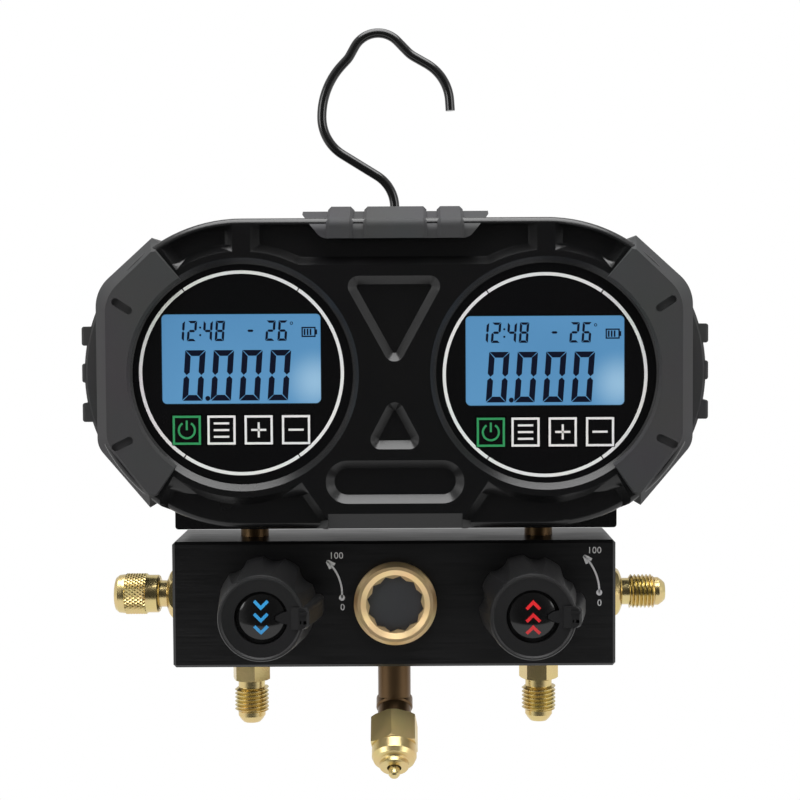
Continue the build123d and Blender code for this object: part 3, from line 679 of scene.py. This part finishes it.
def knurl(root, depth, start, end, around, rows):
    """Sleeve of pyramids on diamond bases. Every second ring of corners is turned half a step."""
    deselect()
    bpy.ops.mesh.primitive_cylinder_add(vertices=around, radius=root * MM, depth=(end - start) * MM,
                                        end_fill_type="NOTHING")
    piece = bpy.context.object
    apply_place(piece, Matrix.Translation((0, 0, (start + end) / 2 * MM)))
    step = (end - start) / rows
    bpy.ops.object.mode_set(mode="EDIT")
    for i in range(1, rows):
        bpy.ops.mesh.select_all(action="SELECT")
        bpy.ops.mesh.bisect(plane_co=(0, 0, (start + i * step) * MM), plane_no=(0, 0, 1))
    bpy.ops.mesh.select_all(action="DESELECT")
    bpy.ops.mesh.select_mode(type="VERT")
    bpy.ops.object.mode_set(mode="OBJECT")
    for vertex in piece.data.vertices:
        vertex.select = round((vertex.co.z / MM - start) / step) % 2 == 1
    bpy.ops.object.mode_set(mode="EDIT")
    bpy.ops.transform.rotate(value=pi / around, orient_axis="Z", center_override=(0, 0, 0))
    bpy.ops.mesh.select_all(action="SELECT")
    bpy.ops.mesh.quads_convert_to_tris(quad_method="SHORTEST_DIAGONAL")
    bpy.ops.mesh.select_all(action="DESELECT")
    bpy.ops.mesh.select_mode(type="EDGE")
    bpy.ops.object.mode_set(mode="OBJECT")
    corners = piece.data.vertices
    for edge in piece.data.edges:
        low, high = (corners[i].co.z / MM for i in edge.vertices)
        edge.select = abs(low - high) < 0.1 * step and start + 0.5 * step < low < end - 0.5 * step
    bpy.ops.object.mode_set(mode="EDIT")
    bpy.ops.mesh.dissolve_edges(use_verts=False)
    bpy.ops.mesh.select_all(action="SELECT")
    bpy.ops.mesh.poke(offset=depth * MM)
    bpy.ops.object.mode_set(mode="OBJECT")
    return piece


def finish_port(pieces, place, name, node, body, material):
    """Join a turned-down copy and its ridge or knurl, put them back, and let them stand in for the
    node. The copy's old custom normals would smooth the new edges away, so they are cleared."""
    for piece in pieces:
        apply_place(piece, place)
    joined(pieces, name, body, material)
    bpy.ops.mesh.customdata_custom_splitnormals_clear()
    bpy.ops.object.shade_smooth_by_angle(angle=radians(PORT_CREASE))
    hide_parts(node)


def thread_port(place, zone, start, end, name, node, material):
    """Threaded stand-in for an open port. The zone is turned down, and the ridge lies inside it."""
    turned = slimmed(node, place, zone, FITTING_ABOVE, THREAD_ROOT / FITTING_R)
    wound = ridge(THREAD_ROOT, THREAD_CREST, start, end)
    finish_port([turned, wound], place, name, node, "manifold", material)


for side, x in (("low", BLOCK_X - HOSE_X), ("high", BLOCK_X + HOSE_X)):
    thread_port(down_port(x), (208.0, 216.2), 208.3, 215.8, side + "_hose_thread",
                side + "_hose_fitting", brass_down)
thread_port(side_port(1), (75.9, 84.3), 76.2, 84.0, "right_port_thread", "right_port_fitting", brass_side)
place = side_port(-1)
turned = slimmed("port_cap", place, (80.1, 87.4), CAP_ABOVE, CAP_SLIM / CAP_R)
sleeve = knurl(KNURL_ROOT, KNURL_DEPTH, 80.3, 87.2, KNURL_AROUND, KNURL_ROWS)
finish_port([turned, sleeve], place, "port_cap_knurl", "port_cap", "port_cap", brass_side)

# %% [markdown]
# ## Charging spring
# The spring inside the charging port is pushed together from its outer end as the pin goes in. A
# merged copy of it is shown, fixed on the manifold.

# %% Charging spring
COIL_CREASE = 40
spring = copy_of(nodes["charging_spring"], Matrix.Identity(4))
only(spring)
bpy.ops.object.mode_set(mode="EDIT")
merge_doubles()
bpy.ops.object.mode_set(mode="OBJECT")
joined([spring], "charging_spring_coil", "manifold", steel)
bpy.ops.mesh.customdata_custom_splitnormals_clear()
bpy.ops.object.shade_smooth_by_angle(angle=radians(COIL_CREASE))
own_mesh(spring)
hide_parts("charging_spring")

# %% [markdown]
# ## Displays
# The digits are of seven segments, leaning a little to the right. A digit is given by which of its
# segments are lit, and every display has the same simple content: a clock, a temperature, the
# battery and a large reading of zero.

# %% Seven segments
LIT = {"0": "abcdef", "1": "bc", "2": "abged", "4": "fgbc", "6": "afgedc", "8": "abcdefg", "-": "g"}
LEAN = 4.2
LARGE = {"width": 6.2, "height": 15.4, "line": 1.75, "gap": 0.16}
SMALL = {"width": 2.8, "height": 6.2, "line": 0.72, "gap": 0.1}
LARGE_Z, SMALL_Z, BATTERY_Z = -5.0, 8.55, 8.1


def digit(mark, x, z, width, height, line, gap):
    """Lit segments of one digit whose middle is at (x, z)."""
    across = (width - line) / 2
    half = (height - line) / 2
    long_bar = width - 2 * gap
    side_bar = height / 2 - 1.5 * gap
    shapes = {"a": (0, half, long_bar, (1, 1), 0), "d": (0, -half, long_bar, (-1, -1), 0),
              "g": (0, 0, long_bar - line, (0, 0), 0),
              "b": (across, half / 2 + line / 4, side_bar, (0, -1), 90),
              "c": (across, -half / 2 - line / 4, side_bar, (-1, 0), 90),
              "f": (-across, half / 2 + line / 4, side_bar, (0, 1), 90),
              "e": (-across, -half / 2 - line / 4, side_bar, (1, 0), 90)}
    pieces = []
    for name in LIT[mark]:
        dx, dz, length, ends, turn = shapes[name]
        lean = -LEAN if turn else 0.0
        piece = bar(length * MM, line * MM, ends)
        pieces.append(placed(piece, x + dx + dz * tan(radians(LEAN)), z + dz, turn=turn + lean))
    return pieces


def display_marks():
    """Everything that one display shows, round the display's centre."""
    pieces = []
    for mark, x in zip("0000", (-14.45, -5.79, 2.92, 11.59)):
        pieces += digit(mark, x, LARGE_Z, **LARGE)
    for mark, x in zip("1248-26", (-18.6, -14.9, -10.1, -6.4, 2.9, 9.0, 12.7)):
        pieces += digit(mark, x, SMALL_Z, **SMALL)
    pieces += [placed(disc(0.32 * MM), -12.4, z) for z in (7.3, 9.6)]
    point = placed(disc(0.75 * MM), -10.3, -12.0)
    degree = placed(arc(0.38 * MM, 0.2 * MM, 0, 360), 15.4, 10.8)
    outline = placed(frame_mark(4.3 * MM, 3.1 * MM, 0.4 * MM), 20.6, BATTERY_Z)
    nub = placed(bar(0.5 * MM, 1.5 * MM), 22.95, BATTERY_Z)
    pieces += [point, degree, outline, nub]
    pieces += [placed(bar(0.5 * MM, 1.9 * MM), x, BATTERY_Z) for x in (19.4, 20.3, 21.2)]
    return pieces


SEGMENT_FRONT = -30.42
content = display_marks()
for side in SIDES:
    x, z = DISPLAY_AT[side]
    joined([copy_of(mark, at(x, SEGMENT_FRONT, z)) for mark in content], side + "_display_segments",
           "manifold", segment_dark)
deselect()
for mark in content:
    bpy.data.objects.remove(mark)

# %% [markdown]
# ## Marks on the faceplates and keys
# A white ring runs round each faceplate in four arcs. Each key has a square outline and a symbol:
# power, menu, plus and minus. They ride on the keys, so they go in with them.

# %% Rings and key symbols
RING_AT = {"low": (-46.65, -104.95), "high": (45.9, -105.95)}
KEY_ROW = {"low": (-47.0, -122.3), "high": (45.8, -123.4)}
KEY_X = (-16.5, -5.9, 5.45, 16.85)
PLATE_FRONT = -30.52
KEY_FRONT = -30.62
RING_R, RING_W = 30.75, 1.0
RING_ARCS = ((55.8, 124.2), (124.9, 235.1), (235.8, 304.2), (304.9, 415.1))
SYMBOL_LINE = 0.62
MENU_STEP = 2.05


def symbol_bar(length, z=0.0, turn=0.0):
    """One line of a key's symbol."""
    return placed(bar(length * MM, SYMBOL_LINE * MM), 0, z, turn=turn)


def key_symbol(key):
    """Lines of one key's symbol, round the key's middle."""
    if key == "power":
        return [arc(2.45 * MM, SYMBOL_LINE * MM, 122, 418), symbol_bar(2.9, 1.5, 90)]
    if key == "menu":
        return [symbol_bar(4.7, MENU_STEP * i) for i in (-1, 0, 1)]
    if key == "plus":
        return [symbol_bar(4.6), symbol_bar(4.6, turn=90)]
    return [symbol_bar(4.6)]


for side in SIDES:
    x, z = RING_AT[side]
    arcs = [placed(arc(RING_R * MM, RING_W * MM, *ends), x, z, PLATE_FRONT) for ends in RING_ARCS]
    joined(arcs, side + "_faceplate_ring", "manifold", print_white)
    x, z = KEY_ROW[side]
    for offset, key in zip(KEY_X, KEYS):
        shapes = [frame_mark(8.6 * MM, 8.9 * MM, 0.68 * MM)] + key_symbol(key)
        shapes = [placed(piece, x + offset, z, KEY_FRONT) for piece in shapes]
        joined(shapes, f"{side}_{key}_symbol", f"{side}_{key}_key",
               print_green if key == "power" else print_white)

# %% [markdown]
# ## Arrows on the block
# Beside each knob a curved arrow shows the way to open the valve. It starts at a dot by 0 and its
# head points at 100, the percentage by which the valve is open. Three points of each arrow give
# the circle that it follows.

# %% Arrows and numbers
BLOCK_FRONT = -16.02
ARROWS = {"low": ((-17.17, -176.51), (-18.14, -170.06), (-21.87, -164.74)),
          "high": ((64.04, -175.26), (62.84, -168.9), (59.16, -163.49))}
NUMBER_AT = {"low": ((-17.0, -179.6), (-18.9, -163.2)), "high": ((64.1, -178.6), (62.5, -161.9))}
NUMBER_H = 2.1
TEXT_SIZE_PER_HEIGHT = 1.38
SHAFT_W, DOT_R = 0.6, 0.95
SHAFT_STOPS_SHORT = 5
BARB_L, BARB_W, BARB_BACK = 2.9, 0.9, 1.35
BARB_TURN, BARB_LEAN = 86, 20


def circle_through(first, second, third):
    """Centre and radius of the circle through three points."""
    (ax, az), (bx, bz), (cx, cz) = first, second, third
    twice = 2 * (ax * (bz - cz) + bx * (cz - az) + cx * (az - bz))
    a2, b2, c2 = ax * ax + az * az, bx * bx + bz * bz, cx * cx + cz * cz
    x = (a2 * (bz - cz) + b2 * (cz - az) + c2 * (az - bz)) / twice
    z = (a2 * (cx - bx) + b2 * (ax - cx) + c2 * (bx - ax)) / twice
    return x, z, hypot(ax - x, az - z)


def number(text, height, x, z, y):
    """Plain digits, made a mesh before their place is applied."""
    deselect()
    bpy.ops.object.text_add()
    words = bpy.context.object
    words.data.body = text
    words.data.size = height * TEXT_SIZE_PER_HEIGHT * MM
    words.data.align_x = "CENTER"
    words.data.align_y = "CENTER"
    words.data.extrude = PRINT_T / 2
    words.data.space_character = 1.05
    bpy.ops.object.convert(target="MESH")
    piece = bpy.context.object
    apply_place(piece, Matrix.Translation(Vector((x, y, z)) * MM) @ Matrix.Rotation(pi / 2, 4, "X"))
    return piece


for side in SIDES:
    dot_at, middle, tip = ARROWS[side]
    x, z, radius = circle_through(dot_at, middle, tip)
    first = degrees(atan2(dot_at[1] - z, dot_at[0] - x))
    last = degrees(atan2(tip[1] - z, tip[0] - x))
    shaft = arc(radius * MM, SHAFT_W * MM, first, last - SHAFT_STOPS_SHORT)
    marks = [placed(shaft, x, z, BLOCK_FRONT), placed(disc(DOT_R * MM), *dot_at, BLOCK_FRONT)]
    for lean in (-BARB_LEAN, BARB_LEAN):
        heading = last + BARB_TURN + lean
        barb_x = tip[0] - BARB_BACK * cos(radians(heading))
        barb_z = tip[1] - BARB_BACK * sin(radians(heading))
        barb = bar(BARB_L * MM, BARB_W * MM, (None, 0))
        marks.append(placed(barb, barb_x, barb_z, BLOCK_FRONT, heading))
    for text, (number_x, number_z) in zip(("0", "100"), NUMBER_AT[side]):
        marks.append(number(text, NUMBER_H, number_x, number_z, BLOCK_FRONT))
    joined(marks, side + "_opening_arrow", "manifold", print_grey)

# %% [markdown]
# ## Marks on the knobs
# The glossy caps carry three chevrons in the colour of their side: blue pointing down for the low
# pressure side, red pointing up for the high one. They turn with the knob. The flat strokes are
# cut finely and laid onto the dome by a shrinkwrap.

# %% Chevrons
VALVE_Z = -177.3
VALVE_X = {"low": -39.9, "high": 41.0}
STROKE, STROKE_W = 3.3, 0.95
STROKE_CUTS = 4
IN_FRONT_OF_DOME = -47.6
CHEVRON_STEP, CHEVRON_DROP = 3.7, 1.3
LIFT, CHEVRON_T = 0.06, 0.05


def stroke(x, z, lean, way):
    """One arm of a chevron, from its tip at (x, z), mitred there. Only its front face is kept."""
    ends = (-way, None) if lean > 0 else (None, -way)
    piece = bar(STROKE * MM, STROKE_W * MM, ends)
    dx = lean * (STROKE - STROKE_W) / 2 * cos(pi / 4)
    dz = way * (STROKE + STROKE_W) / 2 * cos(pi / 4)
    placed(piece, x + dx, z + dz, IN_FRONT_OF_DOME, lean * way * 45)
    for face in piece.data.polygons:
        face.select = face.normal.y > -FACING
    bpy.ops.object.mode_set(mode="EDIT")
    bpy.ops.mesh.select_mode(type="FACE")
    bpy.ops.mesh.delete(type="FACE")
    bpy.ops.mesh.select_all(action="SELECT")
    bpy.ops.mesh.subdivide(number_cuts=STROKE_CUTS)
    bpy.ops.object.mode_set(mode="OBJECT")
    return piece


for side, material, way in (("low", print_blue, 1), ("high", print_red, -1)):
    rows = [VALVE_Z - way * CHEVRON_DROP + step for step in (-CHEVRON_STEP, 0, CHEVRON_STEP)]
    arms = [stroke(VALVE_X[side], row, lean, way) for row in rows for lean in (-1, 1)]
    chevrons = joined(arms, side + "_knob_mark", side + "_valve", material)
    only(chevrons)
    wrap = chevrons.modifiers.new("dome", "SHRINKWRAP")
    wrap.target = nodes[side + "_knob_insert"]
    wrap.wrap_method = "PROJECT"
    wrap.use_project_y = True
    wrap.use_negative_direction = True
    wrap.use_positive_direction = True
    wrap.wrap_mode = "ABOVE_SURFACE"
    wrap.offset = LIFT * MM
    bpy.ops.object.modifier_apply(modifier=wrap.name)
    layer = chevrons.modifiers.new("layer", "SOLIDIFY")
    layer.thickness = CHEVRON_T * MM
    layer.offset = -1
    bpy.ops.object.modifier_apply(modifier=layer.name)

# %% [markdown]
# ## Studio
# A white floor below and behind, a broad soft light overhead and two at the sides, so that the
# black parts show their upper edges and the brass picks up long highlights. The world is white
# all round but for the front, as in a light tent with a dark opening for the camera.

# %% Backdrop and lights
FLOOR_SIZE, FLOOR_AT = 6.0, (0, 2.4, -0.45)
WORLD_FRONT, WORLD_BACK = 0.05, 0.75
FRONT_ENDS, BACK_STARTS = -0.95, -0.35
LIGHT_AIM = (0, 0, -0.12)
LIGHTS = (("top_light", (0.0, -0.15, 0.62), 0.9, 12.0), ("left_light", (-0.9, -0.6, 0.15), 0.6, 4.0),
          ("right_light", (0.9, -0.6, 0.15), 0.6, 3.0))


def white_backdrop():
    """Floor that the camera sees as plain white."""
    material, shader = new_material("backdrop_white", (0.75, 0.75, 0.75), 0.9)
    n, link = material.node_tree.nodes, material.node_tree.links.new
    output = n["Material Output"]
    path = n.new("ShaderNodeLightPath")
    seen = n.new("ShaderNodeMath")
    seen.operation = "MAXIMUM"
    link(path.outputs["Is Camera Ray"], seen.inputs[0])
    link(path.outputs["Is Glossy Ray"], seen.inputs[1])
    white = n.new("ShaderNodeEmission")
    white.inputs["Color"].default_value = (1, 1, 1, 1)
    mix = n.new("ShaderNodeMixShader")
    link(seen.outputs[0], mix.inputs["Fac"])
    link(shader.outputs[0], mix.inputs[1])
    link(white.outputs[0], mix.inputs[2])
    link(mix.outputs[0], output.inputs["Surface"])
    deselect()
    bpy.ops.mesh.primitive_plane_add(size=FLOOR_SIZE, location=FLOOR_AT)
    floor = bpy.context.object
    floor.name = "studio_floor"
    floor.data.materials.append(material)


def soft_light(name, place, size, power):
    """Round area lamp at a place, aimed at the tool's middle."""
    data = bpy.data.lights.new(name, "AREA")
    data.shape = "DISK"
    data.size = size
    data.energy = power
    lamp = bpy.data.objects.new(name, data)
    bpy.context.scene.collection.objects.link(lamp)
    lamp.location = place
    lamp.rotation_euler = (Vector(LIGHT_AIM) - Vector(place)).to_track_quat("-Z", "Y").to_euler()


def tent_world():
    """White to the camera, white behind the tool, and dimmer from the front."""
    world = bpy.data.worlds.new("studio")
    bpy.context.scene.world = world
    world.use_nodes = True
    n, link = world.node_tree.nodes, world.node_tree.links.new
    sky = n["Background"]
    sky.inputs["Color"].default_value = (1, 1, 1, 1)
    direction = n.new("ShaderNodeTexCoord")
    parts = n.new("ShaderNodeSeparateXYZ")
    link(direction.outputs["Generated"], parts.inputs[0])
    behind = n.new("ShaderNodeMapRange")
    behind.interpolation_type = "SMOOTHSTEP"
    behind.inputs["From Min"].default_value = FRONT_ENDS
    behind.inputs["From Max"].default_value = BACK_STARTS
    behind.inputs["To Min"].default_value = WORLD_FRONT
    behind.inputs["To Max"].default_value = WORLD_BACK
    link(parts.outputs["Y"], behind.inputs["Value"])
    path = n.new("ShaderNodeLightPath")
    seen = n.new("ShaderNodeMath")
    seen.operation = "MAXIMUM"
    link(path.outputs["Is Camera Ray"], seen.inputs[0])
    link(behind.outputs["Result"], seen.inputs[1])
    link(seen.outputs[0], sky.inputs["Strength"])


white_backdrop()
tent_world()
for light in LIGHTS:
    soft_light(*light)
bpy.context.scene.view_settings.view_transform = "Standard"
print("lights:", ", ".join(name for name, *_ in LIGHTS))
